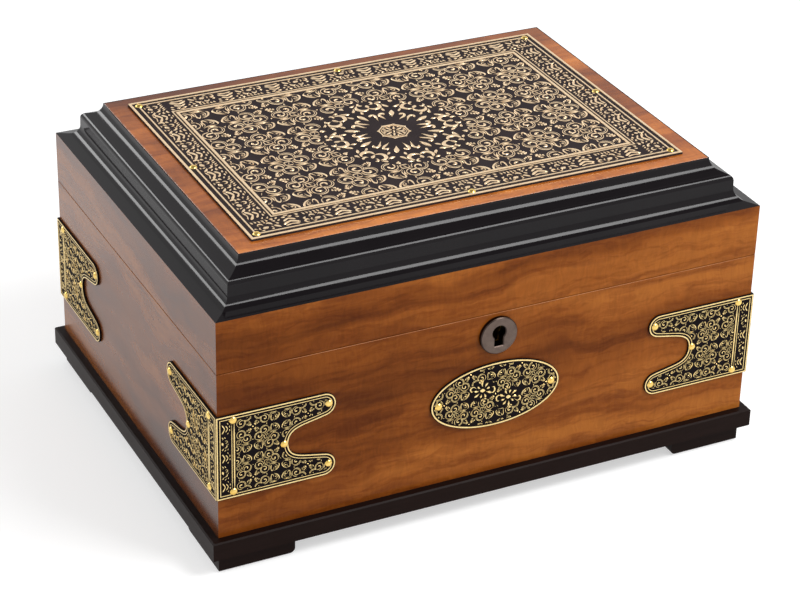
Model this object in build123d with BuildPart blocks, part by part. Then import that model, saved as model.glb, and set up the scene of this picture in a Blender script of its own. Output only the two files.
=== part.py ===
from build123d import *
import os
from math import asin, degrees

# A lockable wooden chest: a case on a plinth with bracket feet, and a hinged lid with a
# stepped moulding. Engraved metal plates are nailed to the case corners, front and lid.
# Millimetres, +Z up, +X right, -Y to the front, origin under the middle of the chest.

# ---- Case and lid
case_width = 330.0
case_depth = 245.0
case_height = 101.7        # from the plinth to the parting line
lid_height = 31.0          # lid sides, from the parting line to the moulding
seam = 0.4                 # gap between case rim and lid rim
wall = 14.0                # thickness of the mitred boards
lining = 5.0               # cedar boards inside
bottom_board = 7.0
lip_height = 6.0           # case lining above the parting line
lip_clearance = 0.6        # between that lip and the lid
lid_lining_gap = 0.8       # between the lip and the lid lining above it

# ---- Plinth and feet
plinth_overhang = 5.0
plinth_height = 11.0
plinth_bar = 35.0
plinth_arris = 0.8
foot_height = 10.7
foot_length = 45.0
foot_bar = 22.0
foot_round = 3.0
pad_thickness = 1.0
pad_inset = 3.0

# ---- Lid moulding, top panel and plate
moulding_height = 24.5
moulding_inset = 22.2      # from the case face to the top panel
moulding_ledge = 8.0       # rebate that carries the top panel
# Outline of the moulding: inset from the case face, and height above the lid sides
slope_end = (6.5, 1.3)
lower_cove_middle = (10.0, 3.9)
step_foot = (11.4, 8.2)
step_head = (11.5, 12.4)
step_round_middle = (12.3, 15.0)
shelf_start = (14.6, 16.4)
shelf_end = (18.0, 17.8)
upper_cove_middle = (20.9, 20.4)
panel_thickness = 12.0
panel_arris = 0.6
plate_margin_x = 11.55     # from the panel edge to the lid plate
plate_margin_y = 9.55
plate_thickness = 1.2

# ---- Corner plates, oval plaque and their nails
corner_length = 68.0
corner_height = 51.8
corner_centre = 50.5       # above the plinth
lobe_radius = 7.0
lobe_sweep = 165.0         # degrees of arc round each fishtail tip
notch_depth = 40.4         # from the case corner to the bottom of the fishtail notch
notch_bow = 9.6            # the notch is this deep where it is notch_half_height
notch_half_height = 9.4    # above its middle
oval_width = 79.8
oval_height = 40.4
nail_head_radius = 2.2
nail_head_height = 1.1
nail_shank_radius = 0.75
nail_length = 8.0
nail_clearance = 0.1
nail_inset = 8.7           # corner plate nails, from the case corner
nail_edge = 3.6            # from a plate's edge
tip_nail_inset = 4.0       # from a fishtail tip
notch_nail_inset = 2.4     # from the bottom of the notch
lid_nail_corner = 5.0
lid_nail_side = 4.0
oval_nail_edge = 4.9

# ---- Keyhole and lock
keyhole_drop = 13.7        # escutcheon centre below the parting line
escutcheon_radius = 11.2
escutcheon_thickness = 2.5
escutcheon_bevel = 0.5
spigot_radius = 8.2
spigot_clearance = 0.1
keyhole_radius = 4.0
keyhole_rise = 2.0         # round part's centre above the escutcheon centre
keyhole_slot_width = 5.2
keyhole_slot_end = 6.4     # slot's end below the escutcheon centre
fit_gap = 0.2              # between an inset piece and its mortise
front_skin = 3.5           # wood left in front of the lock
lock_width = 46.0
lock_height = 26.0
lock_sheet = 1.2
rim_plate_thickness = 2.0  # lock's top plate and the link plate in the lid
rim_plate_length = 60.0
link_spacing = 24.0
link_sheet = 2.0
link_drop = 8.6            # link eyes below the lid rim
link_width = 5.2
link_window_width = 2.8
link_window_height = 4.0
link_foot = 1.2            # metal below the window
bolt_travel = 5.0
bolt_bar = 1.5
bolt_bar_height = 5.4
bolt_nose_width = 2.0
bolt_nose_height = 3.2
running_gap = 0.4          # between moving lock pieces
talon_width = 6.0
talon_height = 1.8
spring_length = 10.0
spring_bow = 2.6
spring_sheet = 0.4
spring_x = 11.0            # middle of the bow spring under the bolt
ledge_length = 16.0        # lock ledge that the spring bears on

# ---- Quadrant hinges
hinge_width = 9.0
hinge_leaf_length = 46.0
hinge_leaf_thickness = 1.8
barrel_radius = 2.1
barrel_gap = 0.35          # between a barrel and the back of the chest
knuckle_gap = 0.2
knuckle_outer = 2.8        # each of the case leaf's two knuckles
pin_radius = 0.9
pin_clearance = 0.05
lid_opening = 95.0         # degrees
arm_radius = 30.0          # middle of the curved stay arm
arm_width = 4.5
arm_thickness = 2.0
arm_head_thickness = 4.0
arm_head_angle = 4.0
arm_clearance = 0.35
arm_end_gap = 1.0          # degrees left beyond each arm head
screw_head_radius = 2.2
screw_head_depth = 1.3
screw_shank_radius = 1.1
screw_length = 10.0
screw_clearance = 0.1
screw_slot_width = 0.6
screw_slot_depth = 0.5
screw_places = (13.0, 21.0, 41.0)   # along a hinge leaf, from the hinge axis

# ---- Heights and inner sizes that follow
plinth_bottom = pad_thickness + foot_height
case_bottom_z = plinth_bottom + plinth_height
parting = case_bottom_z + case_height
case_rim = parting - seam / 2
lid_rim = parting + seam / 2
lid_side_top = parting + lid_height
panel_top = lid_side_top + moulding_height
floor_z = case_bottom_z + bottom_board
inner_width = case_width - 2 * wall
inner_depth = case_depth - 2 * wall
panel_width = case_width - 2 * moulding_inset
panel_depth = case_depth - 2 * moulding_inset
plate_width = panel_width - 2 * plate_margin_x
plate_depth = panel_depth - 2 * plate_margin_y
plate_centre = case_bottom_z + corner_centre
keyhole_z = parting - keyhole_drop
axis_y = case_depth / 2 + barrel_radius + barrel_gap
hinge_x = case_width / 2 - wall / 2
front_y = -case_depth / 2

os.makedirs("parts", exist_ok=True)


def side_planes(z, inset=0.0):
    """Planes on the four sides: X runs along the side, Y points into the chest."""
    half_width = case_width / 2 - inset
    half_depth = case_depth / 2 - inset
    return {
        "front": (Plane((0, -half_depth, z), x_dir=(1, 0, 0), z_dir=(0, 0, 1)), 2 * half_width),
        "right": (Plane((half_width, 0, z), x_dir=(0, 1, 0), z_dir=(0, 0, 1)), 2 * half_depth),
        "back": (Plane((0, half_depth, z), x_dir=(-1, 0, 0), z_dir=(0, 0, 1)), 2 * half_width),
        "left": (Plane((-half_width, 0, z), x_dir=(0, -1, 0), z_dir=(0, 0, 1)), 2 * half_depth),
    }


def mitred_plan(length, width):
    """Plan of a bar mitred at both ends, its long outer edge on the X axis."""
    with BuildSketch(Plane.XY) as plan:
        with BuildLine():
            Polyline(
                (-length / 2, 0),
                (length / 2, 0),
                (length / 2 - width, width),
                (width - length / 2, width),
                close=True,
            )
        make_face()
    return plan.sketch


def outward_face(side_x, side_y, x_dir):
    """Plane on a case corner at plate height, X running away from the corner."""
    corner = (side_x * case_width / 2, side_y * case_depth / 2, plate_centre)
    z_dir = (0, side_y, 0) if x_dir[0] else (side_x, 0, 0)
    return Plane(corner, x_dir=x_dir, z_dir=z_dir)


def corner_faces(side_x, side_y):
    """The two faces that meet at one case corner."""
    return [outward_face(side_x, side_y, (-side_x, 0, 0)), outward_face(side_x, side_y, (0, -side_y, 0))]


corners = {"front_left": (-1, -1), "front_right": (1, -1), "back_left": (-1, 1), "back_right": (1, 1)}
hinge_sides = {"left": -1, "right": 1}
oval_plane = Plane((0, front_y, plate_centre), x_dir=(1, 0, 0), z_dir=(0, -1, 0))
lid_plate_plane = Plane((0, 0, panel_top), x_dir=(1, 0, 0), z_dir=(0, 0, 1))
keyhole_plane = Plane((0, front_y, keyhole_z), x_dir=(1, 0, 0), z_dir=(0, -1, 0))

# ---- Places of the nails, on the plates' outer faces
corner_nail_height = corner_height / 2 - nail_edge
tip_nail_height = corner_height / 2 - lobe_radius
corner_nails = [
    (nail_inset, corner_nail_height),
    (nail_inset, -corner_nail_height),
    (corner_length - tip_nail_inset, tip_nail_height),
    (corner_length - tip_nail_inset, -tip_nail_height),
    (notch_depth - notch_nail_inset, 0),
]
case_nail_places = []
for side_x, side_y in corners.values():
    for face in corner_faces(side_x, side_y):
        for along, up in corner_nails:
            case_nail_places.append(face.offset(plate_thickness).location * Location((along, up, 0)))
for end in (-1, 1):
    place = Location((end * (oval_width / 2 - oval_nail_edge), 0, 0))
    case_nail_places.append(oval_plane.offset(plate_thickness).location * place)
lid_nail_places = []
for along in (-1, 0, 1):
    for across in (-1, 0, 1):
        edge_inset = lid_nail_corner if along and across else lid_nail_side
        place = (along * (plate_width / 2 - edge_inset), across * (plate_depth / 2 - edge_inset), 0)
        if along or across:
            lid_nail_places.append(lid_plate_plane.offset(plate_thickness).location * Location(place))

# ---- One nail, its hole, one hinge screw and its hole
with BuildPart() as nail:
    with BuildSketch(Plane.XZ):
        with BuildLine():
            dome = ThreePointArc(
                (0, nail_head_height),
                (nail_head_radius * 0.6, nail_head_height * 0.8),
                (nail_head_radius, 0),
            )
            Polyline(
                dome @ 1,
                (nail_shank_radius, 0),
                (nail_shank_radius, -nail_length + 2 * nail_shank_radius),
                (0, -nail_length),
                dome @ 0,
            )
        make_face()
    revolve(axis=Axis.Z)

with BuildPart() as nail_hole:
    with Locations((0, 0, -nail_length / 2)):
        Cylinder(nail_shank_radius + nail_clearance, nail_length + nail_clearance)

with BuildPart() as screw:
    with BuildSketch(Plane.XZ):
        with BuildLine():
            Polyline(
                (0, 0),
                (screw_head_radius, 0),
                (screw_shank_radius, -screw_head_depth),
                (screw_shank_radius, 2 * screw_shank_radius - screw_length),
                (0, -screw_length),
                close=True,
            )
        make_face()
    revolve(axis=Axis.Z)
    with BuildSketch(Plane.XY):
        Rectangle(2 * screw_head_radius, screw_slot_width)
    extrude(amount=-screw_slot_depth, mode=Mode.SUBTRACT)

with BuildPart() as screw_hole:
    with BuildSketch(Plane.XZ):
        with BuildLine():
            Polyline(
                (0, screw_clearance),
                (screw_head_radius + screw_clearance, screw_clearance),
                (screw_head_radius + screw_clearance, 0),
                (screw_shank_radius + screw_clearance, -screw_head_depth),
                (screw_shank_radius + screw_clearance, -screw_length - screw_clearance),
                (0, -screw_length - screw_clearance),
                close=True,
            )
        make_face()
    revolve(axis=Axis.Z)


def hinge_screw_places(side, z, up):
    """Screw places on one hinge leaf: the heads look up (1) or down (-1)."""
    heads = [(side * hinge_x, axis_y - run, z) for run in screw_places]
    return [Plane(head, x_dir=(1, 0, 0), z_dir=(0, 0, up)).location for head in heads]


case_screw_places = hinge_screw_places(-1, case_rim, 1) + hinge_screw_places(1, case_rim, 1)
lid_screw_places = hinge_screw_places(-1, lid_rim, -1) + hinge_screw_places(1, lid_rim, -1)

# ---- Places on the lock: its screws sit at the ends of the two rim plates
lock_y = front_y + front_skin
lock_depth = wall - front_skin
rim_plate_y = lock_y + lock_depth / 2
rim_screw_x = (lock_width + rim_plate_length) / 4
lock_screw_places = []
link_screw_places = []
for end in (-1, 1):
    at = (end * rim_screw_x, rim_plate_y)
    lock_screw_places.append(Plane((*at, case_rim), x_dir=(1, 0, 0), z_dir=(0, 0, 1)).location)
    link_screw_places.append(Plane((*at, lid_rim), x_dir=(1, 0, 0), z_dir=(0, 0, -1)).location)

# ---- Curved stay arm: an arc about the hinge axis that slides in both rims.
# It stands half in the case and half in the lid, and turns half as far as the lid.
leaf_clear = hinge_leaf_thickness + seam / 2 + arm_clearance
arm_lift = degrees(asin(leaf_clear / (arm_radius - arm_width / 2)))
arm_half_angle = lid_opening / 2 + arm_lift


def arc_band(radius, width, start, end):
    """A curved band about the sketch's origin, between two angles."""
    with BuildSketch(Plane.XY) as band:
        with BuildLine():
            outer = CenterArc((0, 0), radius + width / 2, start, end - start)
            inner = CenterArc((0, 0), radius - width / 2, start, end - start)
            Line(outer @ 0, inner @ 0)
            Line(outer @ 1, inner @ 1)
        make_face()
    return band.sketch


def arm_plane(side):
    """Plane through one stay arm: X to the front, Y up, origin on the hinge axis."""
    return Plane((side * hinge_x, axis_y, parting), x_dir=(0, -1, 0), z_dir=(-1, 0, 0))


# ---- Keyhole outline, shared by the escutcheon and the lock
def keyhole_outline(gap=0.0):
    with BuildSketch(Plane.XY) as outline:
        with Locations((0, keyhole_rise)):
            Circle(keyhole_radius + gap)
        slot_length = keyhole_rise + keyhole_slot_end + gap
        with Locations((0, keyhole_rise - slot_length / 2)):
            Rectangle(keyhole_slot_width + 2 * gap, slot_length)
    return outline.sketch


# ---- Cut from both rims: hinge leaves, stay arm channels, the rim plates and their screws
rim_cuts = {}
for kind, rim, direction, screws in (
    ("case", case_rim, -1, case_screw_places + lock_screw_places),
    ("lid", lid_rim, 1, lid_screw_places + link_screw_places),
):
    with BuildPart() as cuts:
        with Locations(*screws):
            add(screw_hole.part)
        channel = sorted((0, direction * (arm_half_angle + arm_head_angle + arm_end_gap)))
        for side in hinge_sides.values():
            with BuildSketch(Plane.XY.offset(rim)):
                with Locations((side * hinge_x, axis_y - hinge_leaf_length / 2)):
                    Rectangle(hinge_width + 2 * fit_gap, hinge_leaf_length + 2 * fit_gap)
            extrude(amount=direction * hinge_leaf_thickness)
            with BuildSketch(arm_plane(side)):
                add(arc_band(arm_radius, arm_width + 2 * arm_clearance, *channel))
            extrude(amount=arm_head_thickness / 2 + arm_clearance, both=True)
        with BuildSketch(Plane.XY.offset(rim)):
            with Locations((0, rim_plate_y + wall / 2)):
                Rectangle(rim_plate_length + 2 * fit_gap, lock_depth + wall)
        extrude(amount=direction * rim_plate_thickness)
    rim_cuts[kind] = cuts.part

# ---- Cut from the case boards alone: nail holes, the spigot hole and the lock mortise
with BuildPart() as case_cuts:
    with Locations(*case_nail_places):
        add(nail_hole.part)
    with BuildSketch(keyhole_plane):
        Circle(spigot_radius + spigot_clearance)
    extrude(amount=-front_skin)
    with BuildSketch(Plane.XY.offset(case_rim)):
        with Locations((0, rim_plate_y + wall / 2)):
            Rectangle(lock_width + 2 * fit_gap, lock_depth + wall)
    extrude(amount=-lock_height - fit_gap)

# ---- Plinth: four mitred bars with a small arris on the upper outer edge
for side, (plane, length) in side_planes(plinth_bottom, -plinth_overhang).items():
    with BuildPart() as plinth:
        with BuildSketch(plane):
            add(mitred_plan(length, plinth_bar))
        extrude(amount=plinth_height)
        outer = plinth.faces().sort_by(Axis(plane.origin, plane.y_dir))[0]
        chamfer(outer.edges().sort_by(Axis.Z)[-1], plinth_arris)
    plinth.part.label = f"plinth_{side}"
    export_step(plinth.part, f"parts/plinth_{side}.step")

# ---- Bracket feet, one L-shaped block under each corner
for name, (side_x, side_y) in corners.items():
    corner_x = side_x * case_width / 2
    corner_y = side_y * case_depth / 2
    with BuildPart() as foot:
        with BuildSketch(Plane.XY.offset(pad_thickness)):
            with BuildLine():
                Polyline(
                    (corner_x, corner_y),
                    (corner_x - side_x * foot_length, corner_y),
                    (corner_x - side_x * foot_length, corner_y - side_y * foot_bar),
                    (corner_x - side_x * foot_bar, corner_y - side_y * foot_bar),
                    (corner_x - side_x * foot_bar, corner_y - side_y * foot_length),
                    (corner_x, corner_y - side_y * foot_length),
                    close=True,
                )
            make_face()
        extrude(amount=foot_height)
        lower_edges = foot.edges().group_by(Axis.Z)[0]
        arm_ends = [
            lower_edges.sort_by(lambda edge: abs(edge.center().X))[0],
            lower_edges.sort_by(lambda edge: abs(edge.center().Y))[0],
        ]
        fillet(arm_ends, foot_round)
    foot.part.label = f"foot_{name}"
    export_step(foot.part, f"parts/foot_{name}.step")

# ---- Felt pads under the feet, one group
pad_size = foot_bar - 2 * pad_inset
with BuildPart() as foot_pads:
    for side_x, side_y in corners.values():
        pad_x = side_x * (case_width / 2 - pad_inset - pad_size / 2)
        pad_y = side_y * (case_depth / 2 - pad_inset - pad_size / 2)
        with Locations((pad_x, pad_y, pad_thickness / 2)):
            Box(pad_size, pad_size, pad_thickness)
foot_pads.part.label = "foot_pads"
export_step(foot_pads.part, "parts/foot_pads.step")

# ---- Case boards, mitred at the corners
for side, (plane, length) in side_planes(case_bottom_z).items():
    with BuildPart() as board:
        with BuildSketch(plane):
            add(mitred_plan(length, wall))
        extrude(amount=case_rim - case_bottom_z)
        add(rim_cuts["case"], mode=Mode.SUBTRACT)
        add(case_cuts.part, mode=Mode.SUBTRACT)
    board.part.label = f"case_{side}"
    export_step(board.part, f"parts/case_{side}.step")

with BuildPart() as case_bottom:
    with Locations((0, 0, case_bottom_z + bottom_board / 2)):
        Box(inner_width, inner_depth, bottom_board)
case_bottom.part.label = "case_bottom"
export_step(case_bottom.part, "parts/case_bottom.step")

# ---- Cedar lining of the case, which stands above the rim as a lip
lip_top = parting + lip_height
with BuildPart() as lip_relief:
    with BuildSketch(Plane.XY.offset(case_rim)):
        Rectangle(inner_width, inner_depth)
        Rectangle(inner_width - 2 * lip_clearance, inner_depth - 2 * lip_clearance, mode=Mode.SUBTRACT)
    extrude(amount=lip_top - case_rim)

cavity_width = inner_width - 2 * lining
cavity_depth = inner_depth - 2 * lining
lining_boards = {
    "front": ((0, -(inner_depth - lining) / 2), (inner_width, lining)),
    "back": ((0, (inner_depth - lining) / 2), (inner_width, lining)),
    "left": ((-(inner_width - lining) / 2, 0), (lining, cavity_depth)),
    "right": (((inner_width - lining) / 2, 0), (lining, cavity_depth)),
}
for side, (centre, size) in lining_boards.items():
    with BuildPart() as lining_board:
        with BuildSketch(Plane.XY.offset(floor_z)):
            with Locations(centre):
                Rectangle(*size)
        extrude(amount=lip_top - floor_z)
        add(lip_relief.part, mode=Mode.SUBTRACT)
    lining_board.part.label = f"case_lining_{side}"
    export_step(lining_board.part, f"parts/case_lining_{side}.step")

with BuildPart() as floor_lining:
    with Locations((0, 0, floor_z + lining / 2)):
        Box(cavity_width, cavity_depth, lining)
floor_lining.part.label = "case_lining_floor"
export_step(floor_lining.part, "parts/case_lining_floor.step")

# ---- Corner plates: two fishtail faces that wrap a case corner
lobe_offset = corner_height / 2 - lobe_radius
lobe_centre = corner_length - lobe_radius
with BuildSketch(Plane.XY) as fishtail:
    with BuildLine():
        Line((0, corner_height / 2), (lobe_centre, corner_height / 2))
        upper_lobe = CenterArc((lobe_centre, lobe_offset), lobe_radius, 90, -lobe_sweep)
        Spline(
            upper_lobe @ 1,
            (notch_depth + notch_bow, notch_half_height),
            (notch_depth, 0),
            tangents=[upper_lobe % 1, (0, -1)],
        )
        mirror(about=Plane.XZ)
        Line((0, corner_height / 2), (0, -corner_height / 2))
    make_face()

for name, (side_x, side_y) in corners.items():
    with BuildPart() as corner_plate:
        for face in corner_faces(side_x, side_y):
            with BuildSketch(face):
                add(fishtail.sketch)
                with Locations((-plate_thickness / 2, 0)):
                    Rectangle(plate_thickness, corner_height)
            extrude(amount=plate_thickness)
        with Locations(*case_nail_places):
            add(nail_hole.part, mode=Mode.SUBTRACT)
    corner_plate.part.label = f"corner_plate_{name}"
    export_step(corner_plate.part, f"parts/corner_plate_{name}.step")

# ---- Oval plaque on the front
with BuildPart() as oval_plaque:
    with BuildSketch(oval_plane):
        Ellipse(oval_width / 2, oval_height / 2)
    extrude(amount=plate_thickness)
    with Locations(*case_nail_places):
        add(nail_hole.part, mode=Mode.SUBTRACT)
oval_plaque.part.label = "oval_plaque"
export_step(oval_plaque.part, "parts/oval_plaque.step")

with BuildPart() as case_plate_nails:
    with Locations(*case_nail_places):
        add(nail.part)
case_plate_nails.part.label = "case_plate_nails"
export_step(case_plate_nails.part, "parts/case_plate_nails.step")

# ---- Keyhole escutcheon with a spigot that enters the front board
with BuildPart() as escutcheon:
    with BuildSketch(keyhole_plane):
        Circle(escutcheon_radius)
    extrude(amount=escutcheon_thickness)
    with BuildSketch(keyhole_plane):
        Circle(spigot_radius)
    extrude(amount=-front_skin + fit_gap)
    with BuildSketch(keyhole_plane):
        add(keyhole_outline())
    extrude(amount=wall, both=True, mode=Mode.SUBTRACT)
    chamfer(escutcheon.faces().sort_by(Axis.Y)[0].edges(), escutcheon_bevel)
escutcheon.part.label = "keyhole_escutcheon"
export_step(escutcheon.part, "parts/keyhole_escutcheon.step")

# ---- Lock: a sheet metal box let into the front board, open to the inside
link_y = lock_y + lock_depth - lock_sheet - running_gap - link_width / 2
link_slot_y = link_width + 4 * running_gap
lock_top = case_rim - rim_plate_thickness
lock_bottom = case_rim - lock_height
inside_width = lock_width - 2 * lock_sheet
link_bottom = lid_rim - link_drop
window_bottom = link_bottom + link_foot
window_top = window_bottom + link_window_height
bar_y = lock_y + lock_sheet + running_gap + bolt_bar / 2
bar_top = lock_top - running_gap
bar_bottom = bar_top - bolt_bar_height
spring_crest = bar_bottom - spring_bow
with BuildPart() as lock_case:
    with Locations((0, rim_plate_y, (lock_top + lock_bottom) / 2)):
        Box(lock_width, lock_depth, lock_top - lock_bottom)
    with Locations((0, rim_plate_y + lock_sheet, (lock_top + lock_bottom + lock_sheet) / 2)):
        Box(inside_width, lock_depth, lock_top - lock_bottom - lock_sheet, mode=Mode.SUBTRACT)
    with Locations((0, rim_plate_y, case_rim - rim_plate_thickness / 2)):
        Box(rim_plate_length, lock_depth, rim_plate_thickness)
    for end in (-1, 1):
        with Locations((end * link_spacing / 2, link_y, case_rim - rim_plate_thickness / 2)):
            Box(link_sheet + 4 * running_gap, link_slot_y, rim_plate_thickness, mode=Mode.SUBTRACT)
    with BuildSketch(keyhole_plane.offset(-front_skin)):
        add(keyhole_outline(fit_gap))
    extrude(amount=-lock_sheet, mode=Mode.SUBTRACT)
    ledge_depth = running_gap + bolt_bar
    ledge_x = spring_x + bolt_travel / 2
    with Locations((ledge_x, bar_y - running_gap / 2, spring_crest - running_gap - lock_sheet / 2)):
        Box(ledge_length, ledge_depth, lock_sheet)
    with Locations(*lock_screw_places):
        add(screw_hole.part, mode=Mode.SUBTRACT)
lock_case.part.label = "lock_case"
export_step(lock_case.part, "parts/lock_case.step")

cover_height = lock_top - lock_bottom - lock_sheet - 2 * fit_gap
with BuildPart() as lock_cover:
    cover_z = lock_bottom + lock_sheet + fit_gap + cover_height / 2
    with Locations((0, lock_y + lock_depth - lock_sheet / 2, cover_z)):
        Box(inside_width - 2 * fit_gap, lock_sheet, cover_height)
lock_cover.part.label = "lock_cover"
export_step(lock_cover.part, "parts/lock_cover.step")

# ---- Bolt: a bar with two noses that slide into the link eyes
nose_root = link_sheet / 2 + 2 * running_gap
nose_z = (window_bottom + window_top) / 2
bar_end = inside_width / 2 - running_gap
web_length = bar_end - link_spacing / 2 - nose_root - bolt_travel
web_depth = link_y + bolt_nose_width / 2 - (bar_y - bolt_bar / 2)
with BuildPart() as lock_bolt:
    with Locations((-bolt_travel / 2, bar_y, (bar_top + bar_bottom) / 2)):
        Box(2 * bar_end - bolt_travel, bolt_bar, bolt_bar_height)
    with Locations((0, bar_y, bar_bottom + talon_height / 2)):
        Box(talon_width, bolt_bar, talon_height, mode=Mode.SUBTRACT)
    for end in (-1, 1):
        root_x = end * link_spacing / 2 - nose_root - bolt_travel
        with Locations((root_x - web_length / 2, link_y + (bolt_nose_width - web_depth) / 2, nose_z)):
            Box(web_length, web_depth, bolt_nose_height)
        with Locations((root_x + bolt_travel / 2, link_y, nose_z)):
            Box(bolt_travel, bolt_nose_width, bolt_nose_height)
lock_bolt.part.label = "lock_bolt"
export_step(lock_bolt.part, "parts/lock_bolt.step")

# ---- Bow spring under the bolt, which bears on a ledge in the lock
with BuildPart() as lock_spring:
    with BuildSketch(Plane((spring_x, bar_y, bar_bottom), x_dir=(1, 0, 0), z_dir=(0, -1, 0))):
        with BuildLine():
            half = spring_length / 2
            bow = ThreePointArc((-half, -spring_sheet), (0, -spring_bow), (half, -spring_sheet))
            inner_bow = ThreePointArc((-half, 0), (0, spring_sheet - spring_bow), (half, 0))
            Line(bow @ 0, inner_bow @ 0)
            Line(bow @ 1, inner_bow @ 1)
        make_face()
    extrude(amount=bolt_bar / 2, both=True)
lock_spring.part.label = "lock_spring"
export_step(lock_spring.part, "parts/lock_spring.step")

# ---- Link plate in the lid rim, with two eyes that hang into the lock
with BuildPart() as link_plate:
    with Locations((0, rim_plate_y, lid_rim + rim_plate_thickness / 2)):
        Box(rim_plate_length, lock_depth, rim_plate_thickness)
    for end in (-1, 1):
        with Locations((end * link_spacing / 2, link_y, lid_rim - link_drop / 2)):
            Box(link_sheet, link_width, link_drop)
        with Locations((end * link_spacing / 2, link_y, (window_bottom + window_top) / 2)):
            Box(link_sheet, link_window_width, link_window_height, mode=Mode.SUBTRACT)
    with Locations(*link_screw_places):
        add(screw_hole.part, mode=Mode.SUBTRACT)
link_plate.part.label = "lock_link_plate"
export_step(link_plate.part, "parts/lock_link_plate.step")

# ---- Quadrant hinges, one in each side wall at the back
knuckle_inner = hinge_width - 2 * knuckle_outer - 2 * knuckle_gap
case_knuckles = [-(hinge_width - knuckle_outer) / 2, (hinge_width - knuckle_outer) / 2]
leaf_kinds = {
    "case": (case_rim, -1, case_knuckles, knuckle_outer, case_screw_places),
    "lid": (lid_rim, 1, [0.0], knuckle_inner, lid_screw_places),
}
slot_length = arm_width + 2 * arm_clearance + 2 * fit_gap
leaf_in_wood = hinge_leaf_length - barrel_radius - barrel_gap
for hand, side in hinge_sides.items():
    for kind, (rim, direction, knuckles, knuckle_width, screws) in leaf_kinds.items():
        with BuildPart() as leaf:
            with BuildSketch(Plane.XY.offset(rim)):
                with Locations((side * hinge_x, case_depth / 2 - leaf_in_wood / 2)):
                    Rectangle(hinge_width, leaf_in_wood)
                with Locations((side * hinge_x, axis_y - arm_radius)):
                    Rectangle(arm_thickness + 2 * arm_clearance, slot_length, mode=Mode.SUBTRACT)
                for offset_x in knuckles:
                    with Locations((side * hinge_x + offset_x, (case_depth / 2 + axis_y) / 2)):
                        Rectangle(knuckle_width, axis_y - case_depth / 2)
            extrude(amount=direction * hinge_leaf_thickness)
            for offset_x in knuckles:
                with BuildSketch(Plane((side * hinge_x + offset_x, axis_y, parting), z_dir=(1, 0, 0))):
                    Circle(barrel_radius)
                extrude(amount=knuckle_width / 2, both=True)
            with BuildSketch(Plane((side * hinge_x, axis_y, parting), z_dir=(1, 0, 0))):
                Circle(pin_radius + pin_clearance)
            extrude(amount=hinge_width, both=True, mode=Mode.SUBTRACT)
            with Locations(*screws):
                add(screw_hole.part, mode=Mode.SUBTRACT)
        leaf.part.label = f"hinge_{kind}_leaf_{hand}"
        export_step(leaf.part, f"parts/hinge_{kind}_leaf_{hand}.step")

    with BuildPart() as pin:
        with BuildSketch(Plane((side * hinge_x, axis_y, parting), z_dir=(1, 0, 0))):
            Circle(pin_radius)
        extrude(amount=hinge_width / 2, both=True)
    pin.part.label = f"hinge_pin_{hand}"
    export_step(pin.part, f"parts/hinge_pin_{hand}.step")

    with BuildPart() as arm:
        with BuildSketch(arm_plane(side)):
            add(arc_band(arm_radius, arm_width, -arm_half_angle, arm_half_angle))
        extrude(amount=arm_thickness / 2, both=True)
        for end in (-1, 1):
            angles = sorted((end * arm_half_angle, end * (arm_half_angle + arm_head_angle)))
            with BuildSketch(arm_plane(side)):
                add(arc_band(arm_radius, arm_width, *angles))
            extrude(amount=arm_head_thickness / 2, both=True)
    arm.part.label = f"hinge_stay_arm_{hand}"
    export_step(arm.part, f"parts/hinge_stay_arm_{hand}.step")

for name, places in {
    "case_screws": case_screw_places + lock_screw_places,
    "lid_screws": lid_screw_places + link_screw_places,
}.items():
    with BuildPart() as screws_group:
        with Locations(*places):
            add(screw.part)
    screws_group.part.label = name
    export_step(screws_group.part, f"parts/{name}.step")

# ---- Lid boards
for side, (plane, length) in side_planes(lid_rim).items():
    with BuildPart() as lid_board:
        with BuildSketch(plane):
            add(mitred_plan(length, wall))
        extrude(amount=lid_side_top - lid_rim)
        add(rim_cuts["lid"], mode=Mode.SUBTRACT)
    lid_board.part.label = f"lid_{side}"
    export_step(lid_board.part, f"parts/lid_{side}.step")

# ---- Stepped moulding: two coves with a rounded step between them, and a rebate
ledge_height = moulding_height - panel_thickness
with BuildSketch(Plane.XY) as moulding_profile:
    with BuildLine():
        Line((0, 0), slope_end)
        ThreePointArc(slope_end, lower_cove_middle, step_foot)
        Line(step_foot, step_head)
        ThreePointArc(step_head, step_round_middle, shelf_start)
        Line(shelf_start, shelf_end)
        ThreePointArc(shelf_end, upper_cove_middle, (moulding_inset, moulding_height))
        Polyline(
            (moulding_inset, moulding_height),
            (moulding_inset, ledge_height),
            (moulding_inset + moulding_ledge, ledge_height),
            (moulding_inset + moulding_ledge, 0),
            (0, 0),
        )
    make_face()

for side, (plane, length) in side_planes(lid_side_top).items():
    with BuildPart() as moulding:
        with BuildSketch(Plane(plane.origin, x_dir=plane.y_dir, z_dir=plane.x_dir)):
            add(moulding_profile.sketch)
        extrude(amount=length / 2, both=True)
        with BuildSketch(plane):
            add(mitred_plan(length, moulding_inset + moulding_ledge))
        extrude(amount=moulding_height, mode=Mode.INTERSECT)
    moulding.part.label = f"lid_moulding_{side}"
    export_step(moulding.part, f"parts/lid_moulding_{side}.step")

# ---- Core board and veneered top panel inside the moulding
with BuildPart() as core_board:
    with Locations((0, 0, lid_side_top + ledge_height / 2)):
        Box(panel_width - 2 * moulding_ledge, panel_depth - 2 * moulding_ledge, ledge_height)
core_board.part.label = "lid_core_board"
export_step(core_board.part, "parts/lid_core_board.step")

with BuildPart() as top_panel:
    with Locations((0, 0, panel_top - panel_thickness / 2)):
        Box(panel_width, panel_depth, panel_thickness)
    chamfer(top_panel.faces().sort_by(Axis.Z)[-1].edges(), panel_arris)
    with Locations(*lid_nail_places):
        add(nail_hole.part, mode=Mode.SUBTRACT)
top_panel.part.label = "lid_top_panel"
export_step(top_panel.part, "parts/lid_top_panel.step")

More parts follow.
